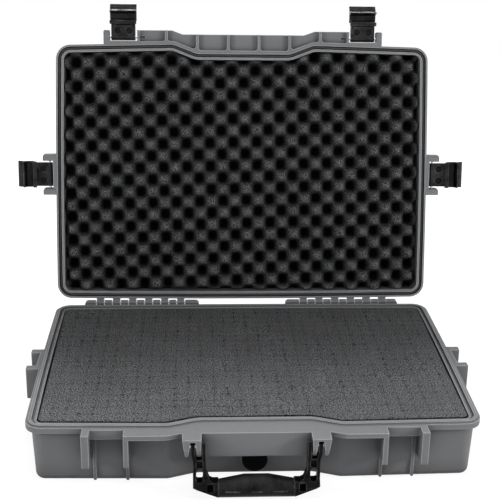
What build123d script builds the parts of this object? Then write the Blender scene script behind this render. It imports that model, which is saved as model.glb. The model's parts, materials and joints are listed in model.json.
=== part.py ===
"""Laptop hard case: hinged lid, four two-part latches, folding handle, purge valve and foam.

Frame: origin at the centre of the base's underside, +X to the right, +Y to the hinges, +Z up, mm.
Everything is drawn about the rim plane, the face where base and lid meet, and then moved up by
the height of the base. The lid and its latches are drawn closed and then swung open.
"""
from build123d import *
import os

os.makedirs("parts", exist_ok=True)

# ------------------------------------------------------------------ driving dimensions, mm
CASE_WIDTH = 500.0          # over the rim, at the hinges
FRONT_WIDTH = 490.0         # over the rim, at the front corners
CASE_DEPTH = 343.0          # rim, hinge side to the front's knees
FRONT_BOW = 4.0             # the front's outer thirds slope back by this much at the corners
BASE_HEIGHT = 69.0          # underside to rim plane
LID_HEIGHT = 50.0           # rim plane to the top of the closed lid
REAR_BOW = 1.9              # the hinge side bulges by this much
SIDE_BOW = 1.3              # each side bulges by this much
CORNER_RADIUS = 19.0
RECESS_DEPTH = 11.8         # step of the front behind the handle
RECESS_HALF_TOP = 92.0      # half width where the step starts
RECESS_HALF_FLOOR = 61.0    # half width where it ends
RECESS_RADIUS = 22.0
RIM_GAP = 0.3               # between the closed rims

LIP_HEIGHT = 7.2            # flange round the rim
WALL_INSET_TOP = 6.0        # outer wall, behind the edge of the lip
WALL_INSET_FOOT = 8.5
CAVITY_INSET = 11.7         # base cavity, mouth and floor
LID_MOUTH_INSET = 9.8       # lid cavity at its mouth
LID_FLOOR_INSET = 12.0
FLOOR = 4.0
BOTTOM_RADIUS = 8.0
CAVITY_RADIUS = 4.0
LIP_EDGE = 0.8              # rounding of the lip's edges

TONGUE_START = 2.8          # raised tongue of the base's rim, from the edge inwards
TONGUE_WIDTH = 3.6
TONGUE_HEIGHT = 1.75
VALLEY_WIDTH = 2.6
VALLEY_DEPTH = 2.2
GROOVE_CLEARANCE = 0.4      # lid's groove about the tongue, each side
GROOVE_DEPTH = 4.8
SEAL_RADIUS = 1.5

HINGE_BEHIND = 5.3          # hinge axis behind the rim
HINGE_ABOVE = 1.0           # and above the rim plane
KNUCKLE_RADIUS = 3.8
HINGE_PIN_RADIUS = 1.5
PIN_CLEARANCE = 0.06        # radial, every pin in its bore
HINGE_CENTRE = 138.5        # middle of each group of fingers
FINGER_PITCH = 21.8
FINGER_COUNT = 6
FINGER_WIDTH = 9.9
FINGER_GAP = 1.05
SHOULDER_INNER = 19.0       # end knuckle towards the middle of the case
SHOULDER_OUTER = 15.0
SHOULDER_RADIUS = 7.0
WEB_DEPTH = 6.5             # knuckles run into the lip over this height
LID_OPEN = 100.0            # degrees from closed at the stop

SHELF_REACH = 16.0          # front flange beyond the rim
SHELF_HALF = 139.6
SHELF_KNEE_OUT = 94.0
SHELF_KNEE_IN = 80.0
SHELF_STEP = 5.0            # the shelf is shallower behind the handle
BASE_SHELF_THICKNESS = 5.3
LID_SHELF_THICKNESS = 8.0
POCKET_DEPTH = 5.0
POCKET_WALL = 2.4
POCKET_RIM_WALL = 2.2
POCKET_RADIUS = 3.4
RIB_PITCH = 40.6
RIB_COUNT = 6
RIB_WIDTH = 3.3
APRON_DROP = 28.3
APRON_THICKNESS = 3.0
APRON_HALF = 57.7

LATCH_WIDTH = 34.6          # lever
ARM_WIDTH = 31.4
FRONT_LATCH_X = 157.6
SIDE_LATCH_Y = 1.8
LATCH_PIN_OUT = 8.5         # latch pin in front of the rim's edge
LATCH_PIN_UP = 5.5          # and above the rim plane
LATCH_PIN_RADIUS = 1.5
LATCH_SWING = 90.0          # degrees out from closed
LATCH_SIDE_GAP = 0.6        # lever to post
CATCH_REACH = 4.0           # catch lip beyond the rim
CATCH_HEIGHT = 11.0
EAR_HEIGHT = 13.0
EAR_REACH = 17.7
EAR_THICK = 8.0
EAR_THIN = 3.9
EAR_RADIUS = 3.0
EAR_CORNER = 2.0            # tip corners of a front ear, in plan
SIDE_EAR_CORNER = 7.0       # side ears are rounded towards the front of the case
SIDE_GUARD_THICK = 9.5      # ears and posts of the side latches
POST_THICK = 8.0
POST_THIN = 5.4
POST_DROP = 39.0
FRONT_POST_REACH = 17.3
SIDE_POST_REACH = 15.0
POST_RADIUS = 1.5
WALL_RIB_WIDTH = 3.6
WALL_RIB_REACH = 5.5        # in from the rim's edge, so that the drafted wall bares it low down
WALL_RIB_FOOT = 3.0         # above the underside

ARM_BARREL_RADIUS = 4.0
PLATE_INNER = 1.2           # latch plate, outwards from the pin's axis
PLATE_OUTER = 4.2
LEVER_PIN_DOWN = 19.5       # lever pin below the latch pin
LEVER_PIN_OUT = -0.5
LEVER_PIN_RADIUS = 1.25
KNUCKLE_HALF = 10.7         # lever's middle knuckle, half width
KNUCKLE_SPLIT = 0.3
LATCH_LENGTH = 42.8         # latch pin to the lever's tip
HOOK_REACH = -8.5
HOOK_GAP = 0.3              # hook under its catch
HOOK_HEIGHT = 4.7
TOOTH_REACH = -9.0
TOOTH_DOWN = 33.5
TOOTH_HALF_BASE = 3.2
TIP_FLARE = 2.6
SADDLE_RADIUS = 4.6
ARM_RIB_DEPTH = 3.2         # arm's inner face, inwards from the pin's axis

PIVOT_OUT = 21.5            # handle pivot in front of the rim
PIVOT_DOWN = 8.9
BRACKET_INNER = 57.8
BRACKET_OUTER = 77.9
BRACKET_REACH = 26.5
BRACKET_PLATE = 2.5
EAR_TIP_DROP = 21.0
HANDLE_PIN_RADIUS = 2.0
PRONG_RADIUS = 4.2
PRONG_OUTER = (64.7, 69.0)  # prong between the bracket's ears
PRONG_INNER = (53.2, 57.5)  # prong on the inner side
LEG_HALF_WIDTH = (53.0, 66.9)
LEG_WEB_TOP = 14.6          # below the pivot, clear of the ears' tips
LEG_SLOT = (26.2, 40.5)     # below the pivot
LEG_SLOT_HALF = 3.4
LEG_CORNER_DOWN = 44.6
LEG_RECESS = (45.2, 52.0, -49.5, -41.8)     # blind recess at the leg's elbow: x and z from the pivot
LEG_PANEL = (16.2, 24.6)    # sunk panel between the leg's rungs, below the pivot
LEG_PANEL_DEPTH = 2.6
GRIP_HALF = 40.0
GRIP_FLAT = 13.0            # half length of the crown's level middle
GRIP_CENTRE_DOWN = 46.8
GRIP_BACK = 1.5             # grip axis in front of the pivot
GRIP_END_RADII = (9.6, 9.9)     # depth, height
GRIP_MID_RADII = (10.6, 12.8)
CORE_RADIUS = 5.5
COLLAR_WIDTH = 6.5
COLLAR_GAP = 0.1            # collar to the end of the sleeve
COLLAR_DOWN = 40.6          # top of the collar below the pivot

VALVE_RADIUS = 14.2
VALVE_DOWN = 44.9
VALVE_BARREL_RADIUS = 6.0
VALVE_FLANGE = 2.0
VALVE_KNOB = 4.6
VALVE_NUT_RADIUS = 9.5
VALVE_NUT = 4.0
GASKET = 1.0
VALVE_NOTCHES = 16
KNOB_GAP = 0.3
SPINDLE_RADIUS = 3.0

FOAM_GAP = 0.8              # lid foam to the cavity's wall
BASE_FOAM_GAP = 2.0
FOAM_TOP_GAP = 0.4          # scored foam below the rim plane
PAD_THICKNESS = 10.0
LAYER_GAP = 0.3
LID_FOAM_SETBACK = 2.0      # lid foam behind its rim
EGG_PITCH = 15.8            # bump to hollow along a row of the egg-crate foam
EGG_CENTRE = (4.2, -9.6)    # middle of one bump, from the case's middle
EGG_MOUTH = 22.0            # side of a tapered hollow at its mouth; neighbours meet in saddles
EGG_FLOOR = 9.0
EGG_DEPTH = 17.0

# ------------------------------------------------------------------ derived places
REAR = CASE_DEPTH / 2
FRONT = -CASE_DEPTH / 2
HINGE_Y = REAR + HINGE_BEHIND
HINGE_AXIS = Axis((0, HINGE_Y, HINGE_ABOVE), (1, 0, 0))
RECESS_FRONT = FRONT + RECESS_DEPTH
SHELF_FRONT = FRONT - SHELF_REACH
APRON_FRONT = SHELF_FRONT + SHELF_STEP
PIVOT_Y = FRONT - PIVOT_OUT
SIDE_HALF = (CASE_WIDTH + FRONT_WIDTH) / 4 + SIDE_BOW   # rim half width at mid depth
FRONT_SLOPE = FRONT_BOW / (FRONT_WIDTH / 2 - RECESS_HALF_TOP)
LATCH_FRONT = FRONT + FRONT_SLOPE * (FRONT_LATCH_X - RECESS_HALF_TOP)   # rim edge at a front latch
TONGUE_END = TONGUE_START + TONGUE_WIDTH
GROOVE_START = TONGUE_START - GROOVE_CLEARANCE
GROOVE_END = TONGUE_END + GROOVE_CLEARANCE
WALL_RIBS = (137.0, 172.0)  # half spacings of the ribs down the front wall


def box(x0, x1, y0, y1, z0, z1):
    """Box between two corners."""
    return Pos((x0 + x1) / 2, (y0 + y1) / 2, (z0 + z1) / 2) * Box(abs(x1 - x0), abs(y1 - y0), abs(z1 - z0))


def rod_x(x0, x1, y, z, radius):
    """Round bar along X."""
    return Pos((x0 + x1) / 2, y, z) * Rot(0, 90, 0) * Cylinder(radius, abs(x1 - x0))


def prism_x(points, x0, x1):
    """Outline of (y, z) points, extruded along X."""
    return Pos(min(x0, x1), 0, 0) * extrude(Plane.YZ * make_face(Polyline(*points, close=True)), abs(x1 - x0))


def prism_y(points, y0, y1):
    """Outline of (x, z) points, extruded along Y."""
    face = Plane.XZ * make_face(Polyline(*points, close=True))
    return Pos(0, max(y0, y1), 0) * extrude(face, abs(y1 - y0))


def mirrored(solid):
    """The solid and its twin across the case's middle."""
    return [solid, mirror(solid, about=Plane.YZ)]


# ------------------------------------------------------------------ outlines in plan
def inset_corner(before, corner, after, inset):
    """A corner of a path moved to its left, so that both its sides move by the inset."""
    ahead, back = ((Vector(*corner) - Vector(*before)).normalized(),
                   (Vector(*after) - Vector(*corner)).normalized())
    normals = Vector(-ahead.Y - back.Y, ahead.X + back.X)
    moved = Vector(*corner) + normals * (inset / (1 + ahead.dot(back)))
    return (moved.X, moved.Y)


def rim(inset=0.0):
    """The rim's outline moved inwards: bowed hinge side and sides, sloped and stepped front."""
    rear, half, front_half = REAR - inset, CASE_WIDTH / 2 - inset, FRONT_WIDTH / 2 - inset
    front = FRONT + inset + FRONT_SLOPE * (front_half - RECESS_HALF_TOP)
    path = [(-FRONT_WIDTH / 2, FRONT + FRONT_BOW), (-RECESS_HALF_TOP, FRONT), (-RECESS_HALF_FLOOR, RECESS_FRONT),
            (RECESS_HALF_FLOOR, RECESS_FRONT), (RECESS_HALF_TOP, FRONT), (FRONT_WIDTH / 2, FRONT + FRONT_BOW)]
    knees = [inset_corner(*path[i:i + 3], inset) for i in range(4)]
    knee_in, knee_out = knees[2][0], knees[3][0]
    stepped = Polyline((-front_half, front), *knees, (front_half, front))
    mid = (rear - REAR_BOW + front) / 2
    sides = [ThreePointArc((s * half, rear - REAR_BOW), (s * (SIDE_HALF - inset), mid), (s * front_half, front))
             for s in (1, -1)]
    back = ThreePointArc((-half, rear - REAR_BOW), (0, rear), (half, rear - REAR_BOW))
    face = make_face([back] + sides + list(stepped.edges()))

    def corners(low, high):
        return [v for v in face.vertices() if low < abs(v.X) < high]

    face = fillet(corners(front_half - 1, half + 1), CORNER_RADIUS - inset)
    face = fillet(corners(knee_out - 0.1, knee_out + 0.1), RECESS_RADIUS - inset)
    return fillet(corners(knee_in - 0.1, knee_in + 0.1), RECESS_RADIUS + inset)


def rim_ring(outer, inner, low, high):
    """Band between two insets, from one height to another."""
    return Pos(0, 0, low) * extrude(rim(outer) - rim(inner), high - low)


def shelf_outline():
    """The front flange in plan, back to behind the rim's edge."""
    points = [(SHELF_HALF, FRONT + FRONT_BOW), (SHELF_HALF, SHELF_FRONT), (SHELF_KNEE_OUT, SHELF_FRONT),
              (SHELF_KNEE_IN, APRON_FRONT)]
    points += [(-x, y) for x, y in reversed(points)]
    points += [(-RECESS_HALF_TOP, FRONT + 2), (-RECESS_HALF_FLOOR, RECESS_FRONT + 2),
               (RECESS_HALF_FLOOR, RECESS_FRONT + 2), (RECESS_HALF_TOP, FRONT + 2)]
    return make_face(Polyline(*points, close=True))


# ------------------------------------------------------------------ shells
def tub(height, cavity_mouth, cavity_floor):
    """Drafted tub with a lip round its mouth, hanging below the rim plane."""
    mouth = Pos(0, 0, -LIP_HEIGHT) * rim(WALL_INSET_TOP)
    foot = Pos(0, 0, -height) * rim(WALL_INSET_FOOT)
    outer = loft([foot, mouth])
    outer = fillet(outer.edges().group_by(Axis.Z)[0], BOTTOM_RADIUS)
    lip = Pos(0, 0, -LIP_HEIGHT) * extrude(rim(), LIP_HEIGHT)
    lip = fillet(lip.edges().group_by(Axis.Z)[0], LIP_EDGE)
    cavity = loft([Pos(0, 0, -height + FLOOR) * rim(cavity_floor), rim(cavity_mouth)])
    cavity = fillet(cavity.edges().group_by(Axis.Z)[0], CAVITY_RADIUS)
    return outer + lip - cavity


def post(thickness, reach, drop):
    """Guard post across the rim's edge, its outer foot rounded both ways."""
    half = thickness / 2
    back = WALL_INSET_FOOT + 0.5
    side = prism_x([(back, 0), (-reach, 0), (-reach, -drop), (back, -drop)], -half, half)
    foot = side.edges().filter_by(Axis.X).filter_by(lambda e: e.center().Z < -drop + 1 and e.center().Y < 0)
    side = fillet(foot, POST_RADIUS + 1)
    front = prism_y([(-half, 0), (half, 0), (half, -drop), (-half, -drop)], -reach, back)
    front = fillet(front.edges().filter_by(Axis.Y).group_by(Axis.Z)[0], POST_RADIUS)
    return side & front


def ear(thickness, height, corners):
    """Lid ear that holds one end of a latch pin; its tip's (-X, +X) corners are rounded in plan."""
    half = thickness / 2
    side = prism_x([(WALL_INSET_FOOT, 0), (-EAR_REACH, 0), (-EAR_REACH, -height),
                    (WALL_INSET_FOOT, -height)], -half, half)
    side = fillet(side.edges().filter_by(Axis.X).filter_by(lambda e: e.center().Y < 0), EAR_RADIUS)
    for sign, radius in zip((-1, 1), corners):
        uprights = side.edges().filter_by(Axis.Z).filter_by(lambda e: e.center().Y < 0)
        side = fillet(uprights.filter_by(lambda e: e.center().X * sign > 0), min(radius, thickness * 0.48))
    return side


def ear_corners(name):
    """Radii of the (-X, +X) tip corners of a latch's ears."""
    corners = {"side_left": (1.0, SIDE_EAR_CORNER), "side_right": (SIDE_EAR_CORNER, 1.0)}
    return corners.get(name, (EAR_CORNER, EAR_CORNER))


def latch_stations():
    """Place of each latch: a frame on the rim's edge with -Y pointing outwards."""
    return {
        "front_left": Pos(-FRONT_LATCH_X, LATCH_FRONT, 0),
        "front_right": Pos(FRONT_LATCH_X, LATCH_FRONT, 0),
        "side_left": Pos(-SIDE_HALF, SIDE_LATCH_Y, 0) * Rot(0, 0, -90),
        "side_right": Pos(SIDE_HALF, SIDE_LATCH_Y, 0) * Rot(0, 0, 90),
    }


STATIONS = latch_stations()
STATION_EDGE = LATCH_WIDTH / 2 + LATCH_SIDE_GAP


def station_sides(name):
    """Thickness of the (-X, +X) guards of a latch; towards the shelf they are thin."""
    posts = {"front_left": (POST_THICK, POST_THIN), "front_right": (POST_THIN, POST_THICK)}
    ears = {"front_left": (EAR_THICK, EAR_THIN), "front_right": (EAR_THIN, EAR_THICK)}
    side = (SIDE_GUARD_THICK, SIDE_GUARD_THICK)
    return posts.get(name, side), ears.get(name, side)


def guards(make, sides):
    """A guard on each side of a latch."""
    left, right = sides
    return [Pos(-STATION_EDGE - left / 2, 0, 0) * make(left), Pos(STATION_EDGE + right / 2, 0, 0) * make(right)]


def catch_lip(height):
    """Deeper piece of lip between a latch's guards."""
    return box(-STATION_EDGE - 1, STATION_EDGE + 1, -CATCH_REACH, WALL_INSET_FOOT, -height, 0)


# ------------------------------------------------------------------ hinge
def finger_centres():
    """Lid fingers of the right-hand group."""
    first = HINGE_CENTRE - (FINGER_COUNT - 1) / 2 * FINGER_PITCH
    return [first + i * FINGER_PITCH for i in range(FINGER_COUNT)]


def knuckle(x0, x1, lid):
    """One hinge knuckle and the web that joins it to the lip of the lid or the base."""
    side = 1 if lid else -1
    root = REAR - (GROOVE_START - 0.1 if lid else TONGUE_END)
    near = RIM_GAP + 0.5 if lid else -0.4
    web = [(root, near), (root, side * WEB_DEPTH), (HINGE_Y, HINGE_ABOVE + side * KNUCKLE_RADIUS),
           (HINGE_Y - 2, HINGE_ABOVE), (REAR + 1.4, near)]
    return rod_x(x0, x1, HINGE_Y, HINGE_ABOVE, KNUCKLE_RADIUS) + prism_x(web, x0, x1)


def shoulder(x0, x1, outer_end):
    """End knuckle whose far top corner is rounded off."""
    top = HINGE_ABOVE + KNUCKLE_RADIUS
    mask = box(x0, x1, REAR - 6, HINGE_Y + KNUCKLE_RADIUS + 1, -WEB_DEPTH - 1, top)
    far = max(x0, x1) if outer_end else min(x0, x1)
    edges = mask.edges().filter_by(Axis.Y).filter_by(lambda e: e.center().Z > top - 1)
    mask = fillet(edges.filter_by(lambda e: abs(e.center().X - far) < 1), SHOULDER_RADIUS)
    return knuckle(x0, x1, lid=False) & mask


def hinge_sets():
    """Base knuckles and lid fingers of the right-hand group, before their bores."""
    centres = finger_centres()
    half, gap = FINGER_WIDTH / 2, FINGER_GAP
    fingers = [knuckle(c - half, c + half, lid=True) for c in centres]
    knuckles = [knuckle(a + half + gap, b - half - gap, lid=False) for a, b in zip(centres, centres[1:])]
    inner = centres[0] - half - gap
    outer = centres[-1] + half + gap
    knuckles.append(shoulder(inner - SHOULDER_INNER, inner, outer_end=False))
    knuckles.append(shoulder(outer, outer + SHOULDER_OUTER, outer_end=True))
    return knuckles, fingers


PIN_INNER = finger_centres()[0] - FINGER_WIDTH / 2 - FINGER_GAP - SHOULDER_INNER * 0.6
PIN_OUTER = finger_centres()[-1] + FINGER_WIDTH / 2 + FINGER_GAP + SHOULDER_OUTER * 0.5


def hinge_bore():
    """Hole for the right-hand hinge pin."""
    return rod_x(PIN_INNER - 0.2, PIN_OUTER + 0.2, HINGE_Y, HINGE_ABOVE, HINGE_PIN_RADIUS + PIN_CLEARANCE)


# ------------------------------------------------------------------ base
def bracket():
    """Right-hand handle bracket: a top plate and two tapered ears."""
    front = FRONT - BRACKET_REACH
    back = APRON_FRONT + 2
    plate = box(BRACKET_INNER, BRACKET_OUTER, front, back, -BRACKET_PLATE, 0)
    side = prism_x([(back, 0), (front, 0), (front, -EAR_TIP_DROP * 0.6), (front + 3.5, -EAR_TIP_DROP),
                    (front + 8.5, -EAR_TIP_DROP), (back, -EAR_TIP_DROP * 0.3)], BRACKET_INNER - 1, BRACKET_OUTER + 1)
    outer = prism_y([(PRONG_OUTER[1] + 0.5, 0), (BRACKET_OUTER, 0), (BRACKET_OUTER - 3.1, -EAR_TIP_DROP),
                     (PRONG_OUTER[1] + 2.6, -EAR_TIP_DROP)], front, back)
    inner = prism_y([(PRONG_INNER[1] + 0.5, 0), (PRONG_OUTER[0] - 0.5, 0), (PRONG_OUTER[0] - 2.5, -EAR_TIP_DROP),
                     (PRONG_INNER[1] + 1.3, -EAR_TIP_DROP)], front, back)
    ears = (outer & side) + (inner & side)
    bore = rod_x(BRACKET_INNER - 2, BRACKET_OUTER + 2, PIVOT_Y, -PIVOT_DOWN, HANDLE_PIN_RADIUS + PIN_CLEARANCE)
    return plate + ears - bore


def wall_rib(x):
    """Stiffening rib down the front wall under a latch."""
    foot = -BASE_HEIGHT + WALL_RIB_FOOT
    edge = FRONT + FRONT_SLOPE * (x - RECESS_HALF_TOP)
    rib = box(x - WALL_RIB_WIDTH / 2, x + WALL_RIB_WIDTH / 2, edge + WALL_RIB_REACH,
              edge + WALL_INSET_FOOT + 2, foot, -LIP_HEIGHT)
    edges = rib.edges().filter_by(Axis.Y).group_by(Axis.Z)[0]
    return fillet(edges, WALL_RIB_WIDTH / 2 - 0.2)


VALVE_FACE = RECESS_FRONT + 5.2      # flat of the boss that the valve seals on
VALVE_AXIS_Z = -VALVE_DOWN


def rod_y(y0, y1, radius):
    """Round bar along Y on the valve's axis."""
    return Pos(0, (y0 + y1) / 2, VALVE_AXIS_Z) * Rot(90, 0, 0) * Cylinder(radius, abs(y1 - y0))


def make_base():
    """Base shell with its rim, shelf, posts, brackets and hinge knuckles."""
    apron = box(-APRON_HALF, APRON_HALF, APRON_FRONT, APRON_FRONT + APRON_THICKNESS, -APRON_DROP, 0)
    apron_foot = apron.edges().filter_by(Axis.X).group_by(Axis.Z)[0]
    knuckles, _ = hinge_sets()
    groups = [rim_ring(TONGUE_START, TONGUE_END, -1, TONGUE_HEIGHT),
              Pos(0, 0, -BASE_SHELF_THICKNESS) * extrude(shelf_outline(), BASE_SHELF_THICKNESS),
              fillet(apron_foot, APRON_THICKNESS / 2 - 0.2),
              mirrored(bracket())]
    groups += [place * catch_lip(CATCH_HEIGHT) for place in STATIONS.values()]
    for name, place in STATIONS.items():
        reach = FRONT_POST_REACH if name.startswith("front") else SIDE_POST_REACH
        groups.append([place * piece
                       for piece in guards(lambda t: post(t, reach, POST_DROP), station_sides(name)[0])])
    groups += [mirrored(wall_rib(x)) for x in WALL_RIBS]
    groups.append([piece for one in knuckles for piece in mirrored(one)])
    groups.append(rod_y(VALVE_FACE, RECESS_FRONT + CAVITY_INSET - 0.5, VALVE_RADIUS + 1.3))
    shell = tub(BASE_HEIGHT, CAVITY_INSET, CAVITY_INSET)
    for group in groups:
        shell = shell + group
    for group in (mirrored(hinge_bore()),
                  rim_ring(TONGUE_END, TONGUE_END + VALLEY_WIDTH, -VALLEY_DEPTH, 1),
                  rod_y(VALVE_FACE - 1, RECESS_FRONT + CAVITY_INSET + 1, VALVE_BARREL_RADIUS + 0.1)):
        shell = shell - group
    return shell


def foam_layer(inset, low, high):
    """Foam block that fills the cavity's outline."""
    return Pos(0, 0, low) * extrude(rim(inset), high - low)


def make_base_foams():
    """Bottom pad, and the scored layer relieved round the valve's nut."""
    low = -BASE_HEIGHT + FLOOR + LAYER_GAP
    pad = foam_layer(CAVITY_INSET + CAVITY_RADIUS + 0.5, low, low + PAD_THICKNESS)
    layer = foam_layer(CAVITY_INSET + BASE_FOAM_GAP, low + PAD_THICKNESS + LAYER_GAP, -FOAM_TOP_GAP)
    relief_end = RECESS_FRONT + CAVITY_INSET + VALVE_NUT + 1.5
    layer -= rod_y(RECESS_FRONT, relief_end, VALVE_NUT_RADIUS + 1.5)
    return pad, layer


def make_lid_foam():
    """Egg-crate foam: a block with tapered square hollows, every other place of a grid."""
    face, back = RIM_GAP + LID_FOAM_SETBACK, LID_HEIGHT - FLOOR - LAYER_GAP
    foam = foam_layer(LID_FLOOR_INSET + FOAM_GAP, face, back)
    foam = fillet(foam.edges().group_by(Axis.Z)[-1], CAVITY_RADIUS)
    hollow = loft([Pos(0, 0, face) * Rectangle(EGG_MOUTH, EGG_MOUTH),
                   Pos(0, 0, face + EGG_DEPTH) * Rectangle(EGG_FLOOR, EGG_FLOOR)])
    columns, rows = int(CASE_WIDTH / 2 / EGG_PITCH) + 1, int(CASE_DEPTH / 2 / EGG_PITCH) + 1
    spots = [(EGG_CENTRE[0] + i * EGG_PITCH, EGG_CENTRE[1] + j * EGG_PITCH)
             for i in range(-columns, columns + 1) for j in range(-rows, rows + 1) if (i + j) % 2]
    return foam - [Pos(x, y, 0) * hollow for x, y in spots]


def make_valve():
    """Valve barrel with its flange, gasket, inner nut and the knob outside."""
    inner_wall = RECESS_FRONT + CAVITY_INSET
    flange_back = VALVE_FACE - GASKET
    flange_front = flange_back - VALVE_FLANGE
    body = (rod_y(flange_front, flange_back, VALVE_RADIUS)
            + rod_y(flange_back, inner_wall + VALVE_NUT, VALVE_BARREL_RADIUS))
    gasket = (rod_y(flange_back, VALVE_FACE, VALVE_RADIUS - 2)
              - rod_y(flange_back, VALVE_FACE, VALVE_BARREL_RADIUS + 0.1))
    hexagon = Pos(0, inner_wall + VALVE_NUT, VALVE_AXIS_Z) * Rot(90, 0, 0) * extrude(
        RegularPolygon(VALVE_NUT_RADIUS, 6), VALVE_NUT)
    nut = hexagon - rod_y(inner_wall - 1, inner_wall + VALVE_NUT + 1, VALVE_BARREL_RADIUS + 0.02)
    knob_front = flange_front - KNOB_GAP - VALVE_KNOB
    knob = rod_y(knob_front, flange_front - KNOB_GAP, VALVE_RADIUS)
    knob = fillet(knob.edges().sort_by(Axis.Y)[0], 1.4)
    spindle = rod_y(flange_front - KNOB_GAP, inner_wall - 2, SPINDLE_RADIUS)
    body -= rod_y(flange_front - 1, inner_wall - 2, SPINDLE_RADIUS + PIN_CLEARANCE)
    for i in range(VALVE_NOTCHES):
        turn = Pos(0, 0, VALVE_AXIS_Z) * Rot(0, 360 / VALVE_NOTCHES * i, 0) * Pos(0, 0, -VALVE_AXIS_Z)
        groove = Pos(VALVE_RADIUS + 0.4, 0, 0) * rod_y(knob_front + 1.6, flange_front - KNOB_GAP, 1.0)
        knob -= turn * groove
    return body, gasket, nut, knob + spindle


# ------------------------------------------------------------------ handle
def handle_leg():
    """Right-hand leg of the handle about its pivot: fork, rails, slot and foot."""
    top = PRONG_RADIUS
    foot = -GRIP_CENTRE_DOWN - GRIP_MID_RADII[1] + 0.3
    inner, outer = LEG_HALF_WIDTH
    front = [(PRONG_OUTER[1], top), (PRONG_OUTER[1], -8), (outer, -16), (outer, -LEG_CORNER_DOWN),
             (GRIP_HALF + COLLAR_GAP, foot + 3.6), (GRIP_HALF + COLLAR_GAP, -COLLAR_DOWN),
             (GRIP_HALF + COLLAR_WIDTH, -COLLAR_DOWN), (inner - 3.5, -COLLAR_DOWN + 2.6), (inner, -29),
             (PRONG_INNER[0], -8), (PRONG_INNER[0], top)]
    reach = GRIP_MID_RADII[0] + GRIP_BACK
    solid = prism_y(front, -reach, reach)
    fork = [(PRONG_INNER[1], top + 1), (PRONG_INNER[1], -LEG_WEB_TOP), (PRONG_OUTER[0] - 1.5, -LEG_WEB_TOP),
            (PRONG_OUTER[0], -8), (PRONG_OUTER[0], top + 1)]
    solid -= prism_y(fork, -reach, reach)
    middle = (inner + outer) / 2
    slot = box(middle - LEG_SLOT_HALF, middle + LEG_SLOT_HALF, -reach, reach, -LEG_SLOT[1], -LEG_SLOT[0])
    solid -= fillet(slot.edges().filter_by(Axis.Y), LEG_SLOT_HALF * 0.6)
    x0, x1, z0, z1 = LEG_RECESS
    recess = box(x0, x1, -reach, -GRIP_BACK - 3, z0, z1)
    solid -= fillet(recess.edges().filter_by(Axis.Y), 0.8)
    for side in (-1, 1):
        solid -= box(middle - LEG_SLOT_HALF, middle + LEG_SLOT_HALF, side * (PRONG_RADIUS - LEG_PANEL_DEPTH),
                     side * reach, -LEG_PANEL[1], -LEG_PANEL[0])
    thin, thick = PRONG_RADIUS, GRIP_END_RADII[0]
    side = [(-thin, 0), (-thin, -38), (-thick - GRIP_BACK, -46), (-thick - GRIP_BACK, foot + 4),
            (-GRIP_BACK - 4, foot), (-GRIP_BACK + 4, foot), (thick - GRIP_BACK, foot + 4),
            (thick - GRIP_BACK, -46), (thin, -38), (thin, 0)]
    mask = prism_x(side, GRIP_HALF - 1, PRONG_OUTER[1] + 1) + rod_x(GRIP_HALF - 1, PRONG_OUTER[1] + 1, 0, 0, thin)
    return solid & mask


def grip_section(x, radii):
    """Ellipse across the grip; every section stands on the same underside."""
    centre = -GRIP_CENTRE_DOWN - GRIP_MID_RADII[1] + radii[1]
    return Plane(origin=(x, -GRIP_BACK, centre), x_dir=(0, 1, 0), z_dir=(1, 0, 0)) * Ellipse(*radii)


def make_handle():
    """Forked handle frame and the sleeve moulded on its bar."""
    place = Pos(0, PIVOT_Y, -PIVOT_DOWN)
    core = rod_x(-GRIP_HALF - 2, GRIP_HALF + 2, -GRIP_BACK, -GRIP_CENTRE_DOWN, CORE_RADIUS)
    bores = mirrored(rod_x(PRONG_INNER[0] - 1, PRONG_OUTER[1] + 1, 0, 0, HANDLE_PIN_RADIUS + PIN_CLEARANCE))
    frame = (core + mirrored(handle_leg())) - bores
    sections = [grip_section(-GRIP_HALF, GRIP_END_RADII), grip_section(-GRIP_FLAT, GRIP_MID_RADII),
                grip_section(GRIP_FLAT, GRIP_MID_RADII), grip_section(GRIP_HALF, GRIP_END_RADII)]
    grip = loft(sections, ruled=True)
    grip -= rod_x(-GRIP_HALF - 1, GRIP_HALF + 1, -GRIP_BACK, -GRIP_CENTRE_DOWN, CORE_RADIUS + 0.05)
    return place * frame, place * grip


def handle_pin():
    """Pin of the right-hand bracket."""
    return rod_x(BRACKET_INNER + 0.4, BRACKET_OUTER - 1.6, PIVOT_Y, -PIVOT_DOWN, HANDLE_PIN_RADIUS)


# ------------------------------------------------------------------ lid, drawn closed
def shelf_pockets():
    """Pockets between the ribs of the lid's front shelf, open at its front edge."""
    half, front = SHELF_HALF - POCKET_WALL, SHELF_FRONT - 2 * POCKET_RADIUS
    back = RECESS_FRONT + 1
    field = Pos(0, (front + back) / 2) * Rectangle(2 * half, back - front) - rim(-POCKET_RIM_WALL)
    first = -(RIB_COUNT - 1) / 2 * RIB_PITCH
    for i in range(RIB_COUNT):
        field -= Pos(first + i * RIB_PITCH, SHELF_FRONT) * Rectangle(RIB_WIDTH, 60)
    cells = [offset(offset(cell, amount=-POCKET_RADIUS), amount=POCKET_RADIUS) for cell in field.faces()]
    return [Pos(0, 0, -POCKET_DEPTH) * extrude(cell, POCKET_DEPTH + 1) for cell in cells]


def latch_bore(place):
    """Hole through a latch's ears, in lid drawing coordinates."""
    reach = STATION_EDGE + SIDE_GUARD_THICK + 1
    return place * rod_x(-reach, reach, -LATCH_PIN_OUT, -(LATCH_PIN_UP - RIM_GAP), LATCH_PIN_RADIUS + PIN_CLEARANCE)


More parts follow.
